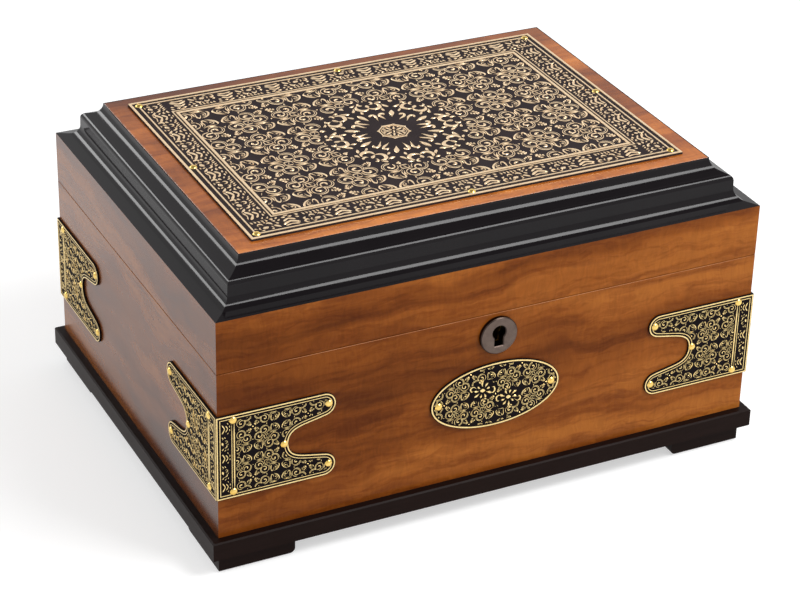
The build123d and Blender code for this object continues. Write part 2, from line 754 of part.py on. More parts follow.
# ---- Cedar lining of the lid, above the lip of the case
lid_lining_bottom = lip_top + lid_lining_gap
ceiling_z = lid_side_top - lining
for side, (centre, size) in lining_boards.items():
    with BuildPart() as lid_lining:
        with BuildSketch(Plane.XY.offset(lid_lining_bottom)):
            with Locations(centre):
                Rectangle(*size)
        extrude(amount=ceiling_z - lid_lining_bottom)
    lid_lining.part.label = f"lid_lining_{side}"
    export_step(lid_lining.part, f"parts/lid_lining_{side}.step")

with BuildPart() as ceiling:
    with Locations((0, 0, lid_side_top - lining / 2)):
        Box(inner_width, inner_depth, lining)
ceiling.part.label = "lid_lining_ceiling"
export_step(ceiling.part, "parts/lid_lining_ceiling.step")

# ---- Engraved plate on the lid and its nails
with BuildPart() as lid_plate:
    with Locations((0, 0, panel_top + plate_thickness / 2)):
        Box(plate_width, plate_depth, plate_thickness)
    with Locations(*lid_nail_places):
        add(nail_hole.part, mode=Mode.SUBTRACT)
lid_plate.part.label = "lid_plate"
export_step(lid_plate.part, "parts/lid_plate.step")

with BuildPart() as lid_plate_nails:
    with Locations(*lid_nail_places):
        add(nail.part)
lid_plate_nails.part.label = "lid_plate_nails"
export_step(lid_plate_nails.part, "parts/lid_plate_nails.step")
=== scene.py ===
"""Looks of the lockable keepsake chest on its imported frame: figured veneer, black lacquer, cedar and brass,
and the raised gilt scrollwork of its metal plates as real relief.

Lengths are metres, except where a name, a comment or a docstring says mm.
"""

import math

import bpy
import numpy as np
from mathutils import Matrix, Vector

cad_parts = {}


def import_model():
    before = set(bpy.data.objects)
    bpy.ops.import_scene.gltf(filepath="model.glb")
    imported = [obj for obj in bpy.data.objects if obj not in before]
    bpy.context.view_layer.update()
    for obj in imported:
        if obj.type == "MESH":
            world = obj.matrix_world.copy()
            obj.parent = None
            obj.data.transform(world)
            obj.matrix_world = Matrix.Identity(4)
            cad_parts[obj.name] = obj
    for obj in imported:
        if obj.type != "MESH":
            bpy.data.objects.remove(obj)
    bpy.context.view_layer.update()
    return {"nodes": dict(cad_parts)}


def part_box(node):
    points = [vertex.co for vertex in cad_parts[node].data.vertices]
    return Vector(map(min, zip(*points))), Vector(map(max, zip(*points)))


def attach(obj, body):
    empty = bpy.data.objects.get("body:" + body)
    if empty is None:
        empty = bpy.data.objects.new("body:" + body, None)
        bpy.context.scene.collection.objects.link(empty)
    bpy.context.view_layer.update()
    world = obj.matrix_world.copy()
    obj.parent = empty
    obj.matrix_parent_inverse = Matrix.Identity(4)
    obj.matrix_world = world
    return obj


MM = 0.001

# ---------------------------------------------------------------- relief

SUNK = 0.08  # how far a raised shape's foot goes into its plate, in mm
POINT_RISE = 0.3  # height of a ribbon's pointed ends, as a share of the rise
GROOVE = 0.2  # what lies lower than this share of the rise, above the foot, is a dark groove
LEVELS = 7  # shapes take turns at this many heights, so that crossing ones have no face in common
LEVEL_STEP = 0.03  # as a share of the rise

# Cross-sections of a ribbon: shares of its half width, and of the rise.
FLAT = ((-1, 0), (-0.66, 1), (0.66, 1), (1, 0))
EDGED = ((-1, 0), (-0.88, 1), (0.88, 1), (1, 0))
RIDGE = ((-1, 0), (-0.5, 0.75), (0, 1), (0.5, 0.75), (1, 0))
DOUBLE = ((-1, 0), (-0.86, 1), (-0.4, 1), (-0.28, 0.12), (0.28, 0.12), (0.4, 1), (0.86, 1), (1, 0))


class Relief:
    """Raised closed shapes on one flat face, in mm: along the face, up it, and out of it."""

    def __init__(self, rise, weight=1.0):
        self.rise = rise
        self.weight = weight
        self.points = []
        self.faces = []
        self.dark = []
        self.count = 0

    def ring_of(self, centre, side, half, section):
        """The points of one cross-section."""
        first = len(self.points)
        for share, height in section:
            place = centre + side * (half * share)
            level = 1 - LEVEL_STEP * (self.count % LEVELS)
            out = self.rise * height * level if height else -SUNK
            self.points.append((place[0], place[1], out))
        return list(range(first, first + len(section)))

    def ribbon(self, path, halves, section, closed=False):
        """A raised band along a path, with its half widths. An open one ends in points."""
        centres = np.asarray(path, float)
        sides = sideways(centres, closed)
        halves = np.asarray(halves) * self.weight
        self.count += 1
        if closed:
            rings = [self.ring_of(c, s, h, section) for c, s, h in zip(centres, sides, halves)]
            pairs = list(zip(rings, rings[1:] + rings[:1]))
        else:
            tips = [len(self.points), len(self.points) + 1]
            for tip in (centres[0], centres[-1]):
                self.points.append((tip[0], tip[1], self.rise * POINT_RISE))
            inner = zip(centres[1:-1], sides[1:-1], halves[1:-1])
            rings = [self.ring_of(c, s, h, section) for c, s, h in inner]
            pairs = list(zip(rings, rings[1:]))
            self.cap(rings[0], tips[0], True)
            self.cap(rings[-1], tips[1], False)
        for a, b in pairs:
            self.join(a, b, section)

    def join(self, a, b, section):
        """The faces between two neighbouring cross-sections."""
        for i in range(len(section)):
            j = (i + 1) % len(section)
            self.faces.append((a[i], b[i], b[j], a[j]))
            self.dark.append(0 < section[i][1] < GROOVE or 0 < section[j][1] < GROOVE)

    def cap(self, ring, tip, start):
        """Closes one end of an open ribbon on its tip."""
        for i in range(len(ring)):
            j = (i + 1) % len(ring)
            face = (tip, ring[i], ring[j]) if start else (tip, ring[j], ring[i])
            self.faces.append(face)
            self.dark.append(False)

    def piece(self, name, face, body, materials, slot="engraved_plate"):
        """The relief as an object on a face, riding on a body. The second material is for its grooves."""
        mesh = bpy.data.meshes.new(name)
        places = [face.place(*p) for p in self.points]
        mesh.from_pydata(places, [], self.faces)
        for material in materials:
            mesh.materials.append(material)
        mesh.polygons.foreach_set("material_index", [int(d) for d in self.dark])
        mesh.update()
        return add(name, mesh, body)


def add(name, mesh, body):
    """Links a new piece that rides on a body."""
    made = bpy.data.objects.new(name, mesh)
    bpy.context.scene.collection.objects.link(made)
    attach(made, body)
    return made


class Face:
    """A flat face: where its zero is, and its directions along, up and out."""

    def __init__(self, origin, along, up):
        self.origin = Vector(origin)
        self.along = Vector(along)
        self.up = Vector(up)
        self.out = self.along.cross(self.up)

    def place(self, along, up, out):
        """A point of the frame from mm along, up and out."""
        return self.origin + (self.along * along + self.up * up + self.out * out) * MM

    def flat(self, point):
        """A point of the frame as (along, up) in mm."""
        offset = (point - self.origin) / MM
        return (offset.dot(self.along), offset.dot(self.up))


def sideways(centres, closed):
    """The mitred direction to the left of travel at each point of a path."""
    if closed:
        before = centres - np.roll(centres, 1, axis=0)
        after = np.roll(centres, -1, axis=0) - centres
    else:
        strides = np.diff(centres, axis=0)
        before = np.vstack([strides[:1], strides])
        after = np.vstack([strides, strides[-1:]])
    before = before / np.linalg.norm(before, axis=1)[:, None]
    after = after / np.linalg.norm(after, axis=1)[:, None]
    middle = before + after
    middle = middle / np.maximum(np.linalg.norm(middle, axis=1), 1e-6)[:, None]
    spread = 1 / np.clip((middle * after).sum(axis=1), 0.5, 1)
    return np.column_stack([-middle[:, 1], middle[:, 0]]) * spread[:, None]


# ---------------------------------------------------------------- paths and widths, in mm
# A shape is a path, its half widths and its cross-section.


def steps(count):
    """Evenly spaced values from 0 to 1."""
    return np.linspace(0, 1, count)


def turn_about(angle):
    """A matrix that turns rows of points by an angle, counter-clockwise."""
    return np.array([[math.cos(angle), math.sin(angle)], [-math.sin(angle), math.cos(angle)]])


def arc(centre, start, end, from_radius, to_radius, count, ease=1.0):
    """A circle or spiral about a centre, between two angles in degrees. ease above 1 nears the end's
    radius early."""
    t = steps(count)
    angle = np.radians(start + (end - start) * t)
    radius = to_radius + (from_radius - to_radius) * (1 - t) ** ease
    return np.asarray(centre) + np.column_stack([np.cos(angle), np.sin(angle)]) * radius[:, None]


def bent(start, end, bulge, count):
    """A path from start to end that bows out to the left by bulge."""
    start = np.asarray(start, float)
    end = np.asarray(end, float)
    t = steps(count)[:, None]
    run = end - start
    left = np.array([-run[1], run[0]]) / np.linalg.norm(run)
    return start + run * t + left * bulge * 4 * t * (1 - t)


def swelling(count, half, fullest):
    """Half widths of a leaf or drop, zero at its ends and widest at a share of its length."""
    t = steps(count) ** (math.log(0.5) / math.log(fullest))
    return half * np.sin(math.pi * t) ** min(1, (fullest / (1 - fullest)) ** 0.4)


def drop(tail, head, half, bulge=0.0, section=FLAT, fullest=0.66):
    """A drop or leaf from its thin tail to its head."""
    return bent(tail, head, bulge, 7), swelling(7, half, fullest), section


def dot(centre, half):
    """A round boss."""
    t = steps(7)
    reach = np.array([half, 0])
    path = np.asarray(centre) + reach * np.cos(math.pi * t)[::-1, None]
    return path, half * np.sin(math.pi * t), RIDGE


def hook(points, half):
    """A smooth ribbon through a few points, fullest past its middle."""
    points = np.asarray(points, float)
    t = np.linspace(0, len(points) - 1, 4 * len(points) - 3)
    path = np.column_stack([smooth_through(points[:, i], t) for i in (0, 1)])
    return path, swelling(len(path), half, 0.55), FLAT


def smooth_through(values, t):
    """Catmull-Rom values at parameters t through evenly spaced values."""
    padded = np.concatenate([[2 * values[0] - values[1]], values, [2 * values[-1] - values[-2]]])
    i = np.minimum(t.astype(int), len(values) - 2)
    f = t - i
    a, b, c, d = (padded[i + k] for k in range(4))
    return b + 0.5 * f * (c - a + f * (2 * a - 5 * b + 4 * c - d + f * (3 * (b - c) + d - a)))


def fan(base, heading, reach, half, spread, count):
    """Drops fanned out from a base, the middle one longest."""
    made = []
    for i in range(count):
        share = 2 * i / (count - 1) - 1
        angle = heading + spread * share
        length = reach * (1 - 0.22 * share * share)
        way = np.array([math.cos(angle), math.sin(angle)])
        start = np.asarray(base) + way * length * 0.25
        made.append(drop(start, np.asarray(base) + way * length, half, -0.09 * share * length))
    return made


def moved(shapes, along=1, up=1, swap=False):
    """The shapes reflected in either axis, or in the diagonal."""
    made = []
    for path, halves, section in shapes:
        path = np.asarray(path)[:, ::-1] if swap else np.asarray(path)
        made.append((path * (along, up), halves, section))
    return made


# ---------------------------------------------------------------- the scroll lattice

PITCH = 28.6  # from a knot of the scroll lattice to the next, in mm on the lid
RING = (12.3, 6.35)  # the middle of a scroll's ring, from the knot it belongs to
LONG = 12  # a shape with more points than this is cut where it runs out, and a shorter one is left out
STUMP = 4  # fewest points of what is left of a cut shape


def scroll_ring():
    """One ring of a pair of scrolls: its double band, the comma that winds into it, and a blade."""
    band = arc(RING, 138, 328, 4.3, 4.3, 19)
    t = steps(len(band))
    width = 0.88 * np.minimum(1, 0.62 + 2.2 * t) * np.minimum(1, 3.2 * (1 - t))
    comma = arc(RING, 140, -170, 4.0, 0.6, 17, ease=2.4)
    head = 0.42 + 0.75 * steps(len(comma)) ** 2
    closing = arc(RING, 318, 462, 4.1, 4.5, 14)
    blade = arc(RING, 40, -24, 5.5, 5.5, 8)
    return [
        (band, width, DOUBLE),
        (comma, head, FLAT),
        (closing, np.full(len(closing), 0.32), FLAT),
        (blade, swelling(len(blade), 0.5, 0.58), FLAT),
    ]


def pod():
    """The veined pod beside a dark space, with its stem and the hairpin line that holds it."""
    shell = [(7.7, 27.2), (5.2, 26.4), (2.9, 24.6), (1.6, 22.2), (1.5, 20.4), (2.7, 19.2)]
    vein = [(6.8, 25.2), (5.0, 25.0), (3.7, 23.4), (3.6, 21.8), (4.6, 20.9), (6.4, 20.8)]
    stem = [(2.6, 18.7), (4.8, 18.6), (7.4, 18.9), (9.8, 18.1), (12.0, 16.3)]
    hairpin = [(12.2, 17.4), (10.4, 18.8), (9.5, 21.0), (9.9, 23.8)]
    hairpin += [(9.5, 26.1), (8.4, 26.4), (7.5, 24.8), (6.9, 22.4)]
    seed = dot((5.2, 23.2), 0.75)
    return [hook(shell, 0.72), hook(vein, 0.34), seed, hook(stem, 0.32), hook(hairpin, 0.5)]


def sprig():
    """The scalloped leaf that points at a knot, its tip at 0, 0 and its stalk along."""
    shapes = [drop((8.6, 0), (2.1, 0), 0.5, fullest=0.8)]
    for side in (1, -1):
        for along, out in ((2.6, 1.2), (4.3, 1.9), (6.0, 2.3)):
            shapes.append(drop((along + 2.0, side * out * 0.4), (along, side * out), 0.62, side * 0.2))
    return shapes


def scroll_quarter():
    """One quarter of what surrounds a knot of the lattice."""
    ring = scroll_ring()
    shapes = ring + moved(ring, swap=True) + pod()
    for path, halves, section in sprig():
        shapes.append((path @ turn_about(math.pi / 4), halves, section))
    return shapes


def link():
    """The small square ring, with a bar across it, between four pairs of scrolls."""
    middle = PITCH / 2
    side, cut, end = 2.4, 1.5, 2.1
    corners = [(side, -cut), (side, cut), (cut, end), (-cut, end)]
    corners += [(-side, cut), (-side, -cut), (-cut, -end), (cut, -end)]
    path = np.array(corners + corners[:1]) + middle
    bar = drop((middle - 0.7, middle - 1.4), (middle + 0.7, middle + 1.4), 0.3, fullest=0.5)
    return [(path, np.full(len(path), 0.3), FLAT), bar]


def scroll_cell():
    """All that surrounds a knot: four quarters, its boss, and the links to its neighbours."""
    cell = []
    for along in (1, -1):
        for up in (1, -1):
            cell += moved(scroll_quarter(), along, up)
    for way in (1, -1):
        cell += moved(link(), 1, way)
        cell.append(drop((way * 14.3, -1.3), (way * 14.3, 1.3), 0.45, fullest=0.5))
        cell.append(dot((0, way * 14.4), 0.55))
    cell.append(dot((0, 0), 0.8))
    return cell


def stamp(relief, shapes, centre, keep, size=1.0, turn=0.0):
    """Puts shapes on a relief, where keep allows. A long shape that runs out is cut there."""
    paths = [(np.asarray(path) * size) @ turn_about(turn) + np.asarray(centre) for path, _, _ in shapes]
    kept = keep(np.vstack(paths))
    first = 0
    for path, (_, halves, section) in zip(paths, shapes):
        inside = kept[first : first + len(path)]
        first += len(path)
        halves = np.asarray(halves) * size
        if inside.all():
            relief.ribbon(path, halves, section)
        elif len(path) > LONG:
            for start, end in runs(inside):
                if end - start >= STUMP:
                    relief.ribbon(path[start:end], halves[start:end], section)


def runs(flags):
    """Start and end of each unbroken run of true flags."""
    edges = np.flatnonzero(np.diff(np.concatenate([[0], flags.astype(int), [0]])))
    return list(zip(edges[::2], edges[1::2]))


def lattice(relief, loop, middle, size, keep, first=0):
    """The scroll cell on every other knot of a square net around a middle, over a loop's extent. first
    is 0 where a cell lies on the middle itself."""
    pitch = PITCH * size
    cell = scroll_cell()
    low = np.ceil((loop.min(axis=0) - middle) / pitch - 1).astype(int)
    high = np.floor((loop.max(axis=0) - middle) / pitch + 1).astype(int)
    for i in range(low[0], high[0] + 1):
        for j in range(low[1], high[1] + 1):
            if (i + j) % 2 == first:
                stamp(relief, cell, middle + np.array([i, j]) * pitch, keep, size)


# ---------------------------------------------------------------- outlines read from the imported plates


def outline(name, face):
    """The outer loop of a plate's face, counter-clockwise as seen from outside, in mm."""
    mesh = frame["nodes"][name].data
    level = max((v.co - face.origin).dot(face.out) for v in mesh.vertices)
    edges = {}
    for polygon in mesh.polygons:
        points = [mesh.vertices[i].co for i in polygon.vertices]
        if all((p - face.origin).dot(face.out) > level - 0.01 * MM for p in points):
            flat = [tuple(round(x, 3) for x in face.flat(p)) for p in points]
            for a, b in zip(flat, flat[1:] + flat[:1]):
                if (b, a) in edges:
                    del edges[(b, a)]
                else:
                    edges[(a, b)] = True
    return max(loops(edges), key=lambda loop: np.ptp(loop, axis=0).prod())


def loops(edges):
    """Chains directed edges into closed loops."""
    after = dict(edges.keys())
    found = []
    while after:
        start, point = after.popitem()
        loop = [start]
        while point != start and point in after:
            loop.append(point)
            point = after.pop(point)
        found.append(np.array(loop))
    return found


def inset(loop, distance):
    """A loop moved inwards."""
    return loop + sideways(loop, True) * distance


def depth_inside(points, loop):
    """How far inside a loop each point is, negative outside."""
    a, b = loop, np.roll(loop, -1, axis=0)
    run = b - a
    rel = points[:, None, :] - a[None]
    t = np.clip((rel * run).sum(2) / np.maximum((run * run).sum(1), 1e-9), 0, 1)
    gap = np.linalg.norm(rel - t[..., None] * run, axis=2).min(axis=1)
    x, y = points[:, 0:1], points[:, 1:2]
    crosses = (a[:, 1] > y) != (b[:, 1] > y)
    with np.errstate(divide="ignore", invalid="ignore"):
        at = a[:, 0] + (y - a[:, 1]) * run[:, 0] / run[:, 1]
    inside = (crosses & (x < at)).sum(axis=1) % 2 == 1
    return np.where(inside, gap, -gap)


def centres_of(name, face):
    """The middles of a node's separate solids on a face, in mm, such as its nails."""
    lowest, highest, apart = -0.3 * MM, 3 * MM, 6
    found = []
    for vertex in frame["nodes"][name].data.vertices:
        height = (vertex.co - face.origin).dot(face.out)
        if lowest < height < highest:
            at = np.array(face.flat(vertex.co))
            near = [group for group in found if np.linalg.norm(group[0] - at) < apart]
            if near:
                near[0].append(at)
            else:
                found.append([at])
    return [(np.min(group, axis=0) + np.max(group, axis=0)) / 2 for group in found]


def line(relief, loop, distance, half):
    """A raised line parallel to an outline."""
    path = inset(loop, distance)
    relief.ribbon(path, np.full(len(path), half), EDGED, closed=True)


# ---------------------------------------------------------------- the lid's plate, in mm

OFF_MIDDLE = np.array([-5.8, -2.2])  # the sheet's pattern is cut off centre
MEDALLION = 42.3  # radius that the scroll field leaves free for the round middle
MEDALLION_SPARE = 3  # the round middle's own shapes may reach this far past that
ROUND = 1.055  # size of the round middle's shapes beside the way they are drawn below
LID_LINES = ((0.85, 0.75), (4.6, 0.5), (19.7, 0.42), (22.0, 0.85))  # depth inside the edge, half width
BAND = 12.1  # the middle of the leaf band, in from the plate's edge
BAND_REACH = (5.4, 19.1)  # the leaf band lies between these depths
LID_FIELD = 23.1  # the scroll field starts at this depth
LID_RISE = 0.3  # height of the border and the round middle
FIELD_RISE = 0.22  # height of the scroll field
LID_NAIL_ROOM = 2.4  # radius left plain about each nail


def bloom():
    """The band's flower, inwards up: a boss, hooked leaves about it and strokes above."""
    shapes = [drop((-1.9, -3.5), (1.9, -2.3), 1.55, section=RIDGE, fullest=0.5)]
    shapes.append(hook([(1.3, 0.7), (2.6, 1.6), (4.0, 0.9), (4.9, -1.2)], 0.7))
    shapes.append(hook([(4.6, -2.2), (5.6, -2.4), (7.0, -3.6), (8.2, -5.2)], 0.75))
    shapes.append(hook([(-2.8, -0.9), (-3.4, 0.6), (-2.2, 1.9), (-0.8, 1.1), (-0.6, -0.4)], 0.5))
    shapes.append(hook([(-5.3, -5.4), (-7.0, -5.2), (-7.4, -3.4), (-6.0, -2.4), (-4.8, -3.6)], 0.6))
    shapes.append(drop((-5.4, 0.4), (-7.6, -1.2), 0.8))
    for i in range(5):
        x = -5.4 + 2.1 * i
        shapes.append(drop((x - 0.7, 5.8), (x + 0.6, 3.1 + 0.5 * (i % 2)), 0.5, 0.2))
    shapes.append(drop((4.9, 5.3), (7.2, 4.6), 0.75))
    shapes.append(drop((5.6, 2.9), (7.6, 2.2), 0.6))
    shapes.append(drop((0.3, 3.0), (1.9, 2.2), 0.45))
    shapes.append(drop((2.2, -5.6), (4.2, -5.0), 0.5))
    shapes.append(drop((-3.9, -5.7), (-1.2, -5.3), 0.4))
    shapes.append(hook([(-3.0, -4.6), (-3.6, -3.0), (-2.6, -1.8)], 0.45))
    shapes.append(drop((6.4, 0.9), (8.4, -1.0), 0.55))
    shapes.append(drop((3.2, -1.9), (4.0, -4.3), 0.4))
    return shapes


def chevron(apex, reach, fall, half):
    """A bold bent leaf, its apex inwards."""
    t = np.linspace(-1, 1, 9)
    path = np.column_stack([reach * t, apex - fall * np.abs(t) ** 1.3])
    return path, half * (1.15 - 0.35 * np.cos(math.pi * t)) * (1 - np.abs(t) ** 6), FLAT


def leaves():
    """The band's nested bold leaves, with strokes above and beside them."""
    shapes = [chevron(-0.8, 5.0, 2.8, 0.75), chevron(2.3, 3.6, 2.2, 0.6), chevron(-4.0, 4.2, 1.0, 0.4)]
    for side in (1, -1):
        shapes.append(drop((side * 0.6, 4.3), (side * 3.2, 4.4), 0.62, fullest=0.5))
        shapes.append(drop((side * 4.2, 3.1), (side * 6.2, 1.9), 0.62))
        shapes.append(drop((side * 4.6, 5.9), (side * 6.8, 4.5), 0.62))
    shapes.append(drop((-1.6, 5.9), (1.6, 5.9), 0.4, fullest=0.5))
    return shapes


def band_along(relief, start, end, repeats, size, keep):
    """Flowers and bold leaves in turn along a band, which has its inner side on the left of travel."""
    start, end = np.asarray(start, float), np.asarray(end, float)
    run = end - start
    turn = math.atan2(run[1], run[0])
    for i in range(repeats):
        stamp(relief, bloom(), start + run * (i / repeats), keep, size, turn)
        stamp(relief, leaves(), start + run * ((i + 0.5) / repeats), keep, size, turn)


def clear_of(places, radius):
    """A keep test: outside round spots such as nail heads."""

    def keep(points):
        ok = np.ones(len(points), bool)
        for place in places:
            ok &= np.linalg.norm(points - place, axis=1) > radius
        return ok

    return keep


def between(loop, nearest, furthest, spots):
    """A keep test: inside a loop by a range of depths, and clear of the nails."""

    def keep(points):
        depth = depth_inside(points, loop)
        return (depth > nearest) & (depth < furthest) & spots(points)

    return keep


def lid_plate_edge(relief, loop, spots):
    """The rim, its inner lines, the leaf band and the two lines inside it."""
    for depth, half in LID_LINES:
        line(relief, loop, depth, half)
    low = loop.min(axis=0) + BAND
    high = loop.max(axis=0) - BAND
    corners = np.array([(low[0], low[1]), (high[0], low[1]), (high[0], high[1]), (low[0], high[1])])
    keep = between(loop, *BAND_REACH, spots)
    for start, end in zip(corners, np.roll(corners, -1, axis=0)):
        repeats = round(np.linalg.norm(end - start) / PITCH)
        band_along(relief, start, end, repeats, 1.0, keep)


def rosette():
    """The pierced octagon at the medallion's middle: a small wheel in two frames."""
    shapes = [dot((0, 0), 0.6)]
    for i in range(8):
        heading = math.pi * (i / 4 + 1 / 8)
        way = np.array([math.cos(heading), math.sin(heading)])
        axis = np.array([math.cos(heading + math.pi / 8), math.sin(heading + math.pi / 8)])
        shapes.append(drop(way * 1.1, way * 6.3, 0.62, fullest=0.6))
        shapes.append(dot(way * 8.5, 0.78))
        shapes.append(drop(axis * 4.4, axis * 6.5, 0.6))
        shapes.append((arc((0, 0), 45 * i + 5, 45 * i + 40, 3.1, 3.1, 5), swelling(5, 0.3, 0.5), FLAT))
    return shapes


def octagon(radius):
    """The corners of a regular octagon with level sides."""
    angles = math.pi / 8 + np.arange(8) * math.pi / 4
    return np.column_stack([np.cos(angles), np.sin(angles)]) * radius


def comma():
    """The curled leaf beside an axis of the medallion, its middle at 0, 0 and outwards up."""
    path = [(2.2, 14.5), (2.0, 16.6), (1.5, 18.8), (1.3, 20.6)]
    path += [(1.8, 22.2), (3.0, 22.7), (4.1, 21.9), (4.2, 20.7)]
    points, halves, section = hook(path, 1.0)
    t = steps(len(points))
    curl = 0.25 * (t > 0.75) * (t < 1)
    return points, np.minimum(halves, 0.95 - 0.3 * t) + curl, section


def cluster():
    """One outer cluster of the medallion, its middle at 0, 0 and outwards up."""
    shapes = [drop((0, 31.4), (0, 35.6), 1.35, section=RIDGE, fullest=0.6)]
    for side in (1, -1):
        curl = arc((-3.2, 32.9), 118, 338, 3.7, 3.5, 15) * (-side, 1)
        shapes.append((curl, swelling(len(curl), 1.25, 0.46), FLAT))
        tendril = [(side * 1.9, 35.6), (side * 3.6, 36.0), (side * 4.1, 37.8), (side * 2.9, 38.7)]
        shapes.append(hook(tendril, 0.75))
        shapes.append(drop((side * 5.9, 37.6), (side * 9.6, 36.4), 0.9, side * -0.4))
        shapes.append(drop((side * 8.4, 34.4), (side * 10.9, 29.2), 0.95, side * -0.5))
        shapes.append(drop((side * 6.6, 29.6), (side * 6.5, 25.2), 0.85, side * -0.3))
    return shapes


def medallion(relief, keep):
    """The round middle: octagon rosette, plain disc, petals, commas and eight clusters."""
    stamp(relief, rosette(), OFF_MIDDLE, keep, ROUND)
    for radius, half in ((8.8, 0.42), (7.4, 0.24)):
        relief.ribbon(octagon(radius) + OFF_MIDDLE, np.full(8, half), FLAT, closed=True)
    petal = drop((0, 18.0), (0, 26.8), 1.6, fullest=0.6)
    dart = drop((0, 36.4), (0, 40.0), 1.5, fullest=0.72)
    spoke = [comma()] + moved([comma()], along=-1) + cluster()
    for i in range(8):
        stamp(relief, spoke, OFF_MIDDLE, keep, ROUND, math.pi * i / 4)
        stamp(relief, [petal, dart], OFF_MIDDLE, keep, ROUND, math.pi * (i / 4 + 1 / 8))


def lid_plate():
    """All the relief of the lid's plate."""
    low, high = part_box("lid_plate")
    face = Face(((low.x + high.x) / 2, (low.y + high.y) / 2, high.z), (1, 0, 0), (0, 1, 0))
    loop = outline("lid_plate", face)
    spots = clear_of(centres_of("lid_plate_nails", face), LID_NAIL_ROOM)
    materials = [GILT, BLACKENED_LID]
    edge = Relief(LID_RISE)
    lid_plate_edge(edge, loop, spots)
    edge.piece("lid_plate_border", face, "lid", materials)

    def from_middle(points):
        return np.linalg.norm(points - OFF_MIDDLE, axis=1)

    round_part = Relief(LID_RISE)
    medallion(round_part, lambda points: from_middle(points) < MEDALLION + MEDALLION_SPARE)
    round_part.piece("lid_plate_medallion", face, "lid", materials)
    inside = between(loop, LID_FIELD, math.inf, spots)

    def keep_field(points):
        return inside(points) & (from_middle(points) > MEDALLION)

    field = Relief(FIELD_RISE)
    lattice(field, loop, OFF_MIDDLE, 1.0, keep_field)
    field.piece("lid_plate_scrollwork", face, "lid", materials)


# ---------------------------------------------------------------- the case's plates, in mm

SMALL = 0.556  # size of the case plates' pattern beside the lid's
CASE_RISE = 0.2
CASE_NAIL_ROOM = 2.5
CORNER_WEIGHT = 0.8  # share of the drawn widths that the corner plates' relief takes
OVAL_WEIGHT = 0.88
CORNER_LINES = ((0.62, 0.46), (2.3, 0.26))  # depth inside the edge, half width
CORNER_POSTS = ((9.0, 0.3), (10.4, 0.55))  # upright lines: distance from the case's corner, half width
CORNER_MARGIN = 3.2  # what the edge lines leave plain inside them
CORNER_BAND = 5.4  # the middle of the upright leaf band, from the case's corner
BAND_OVERRUN = 1.3  # the band's repeats are spread over this much more than the plate's height, at each end
BAND_END = 8.0  # the leaf band ends here, from the case's corner
FIELD_START = 11.3  # and the scroll field starts here
KNOT = 21.0  # the middle of the scroll field's net, from the case's corner
OVAL_LINE = (0.68, 0.5)
OVAL_MARGIN = 1.8
SPRAYS = np.array([(-8.2, 4.0), (8.2, -4.0)])  # the middles of the oval's two blooms
SPRAY_ROOM = (8.2, 6.6)  # half width and half height of the space that each bloom takes
SEAM_DROP = 0.25  # the eased edge lies this far below the case's rim
SEAM_END = 0.4  # and stops this far short of the case's corners
SEAM_HALF = 0.16


def corner_face(name, face, toward):
    """The relief of one face of a corner plate. toward is 1 where the case's corner is at the face's
    higher along, and -1 where it is at the lower."""
    loop = outline(name, face)
    spots = clear_of(centres_of("case_plate_nails", face), CASE_NAIL_ROOM)
    edge = loop[:, 0].max() if toward > 0 else loop[:, 0].min()
    low, high = loop[:, 1].min(), loop[:, 1].max()
    relief = Relief(CASE_RISE, CORNER_WEIGHT)
    for depth, half in CORNER_LINES:
        line(relief, loop, depth, half)
    for inward, half in CORNER_POSTS:
        x = edge - toward * inward
        post = bent((x, low + CORNER_MARGIN), (x, high - CORNER_MARGIN), 0, 6)
        relief.ribbon(post, np.full(len(post), half), FLAT)
    inside = between(loop, CORNER_MARGIN, math.inf, spots)

    def from_corner(points):
        return (edge - points[:, 0]) * toward

    def keep_band(points):
        return inside(points) & (from_corner(points) < BAND_END)

    x = edge - toward * CORNER_BAND
    ends = [(x, low - BAND_OVERRUN), (x, high + BAND_OVERRUN)][::toward]
    band_along(relief, *ends, 3, SMALL, keep_band)
    middle = np.array([edge - toward * KNOT, (high + low) / 2])

    def keep_field(points):
        return inside(points) & (from_corner(points) > FIELD_START)

    lattice(relief, loop, middle, SMALL, keep_field, first=1)
    return relief


def case_sides():
    """The four sides of the case, each from its middle at the height of the table."""
    low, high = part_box("case_front")[0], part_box("case_back")[1]
    return {
        "front": Face((0, low.y, 0), (1, 0, 0), (0, 0, 1)),
        "back": Face((0, high.y, 0), (-1, 0, 0), (0, 0, 1)),
        "left": Face((low.x, 0, 0), (0, -1, 0), (0, 0, 1)),
        "right": Face((high.x, 0, 0), (0, 1, 0), (0, 0, 1)),
    }


def surface_of(name, side):
    """A side's face, moved out to the surface of a plate on it."""
    rise = max((v.co - side.origin).dot(side.out) for v in frame["nodes"][name].data.vertices)
    return Face(side.origin + side.out * rise, side.along, side.up)


def corner_plates():
    """The relief of the eight faces of the four corner plates."""
    low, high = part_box("case_front")[0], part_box("case_back")[1]
    sides = case_sides()
    for end, y in (("front", low.y), ("back", high.y)):
        for side, x in (("left", low.x), ("right", high.x)):
            name = f"corner_plate_{end}_{side}"
            for way in (end, side):
                face = surface_of(name, sides[way])
                toward = 1 if face.flat(Vector((x, y, 0)))[0] > 0 else -1
                relief = corner_face(name, face, toward)
                relief.piece(f"{name}_{way}_scrollwork", face, "case", [GILT_CASE, BLACKENED])


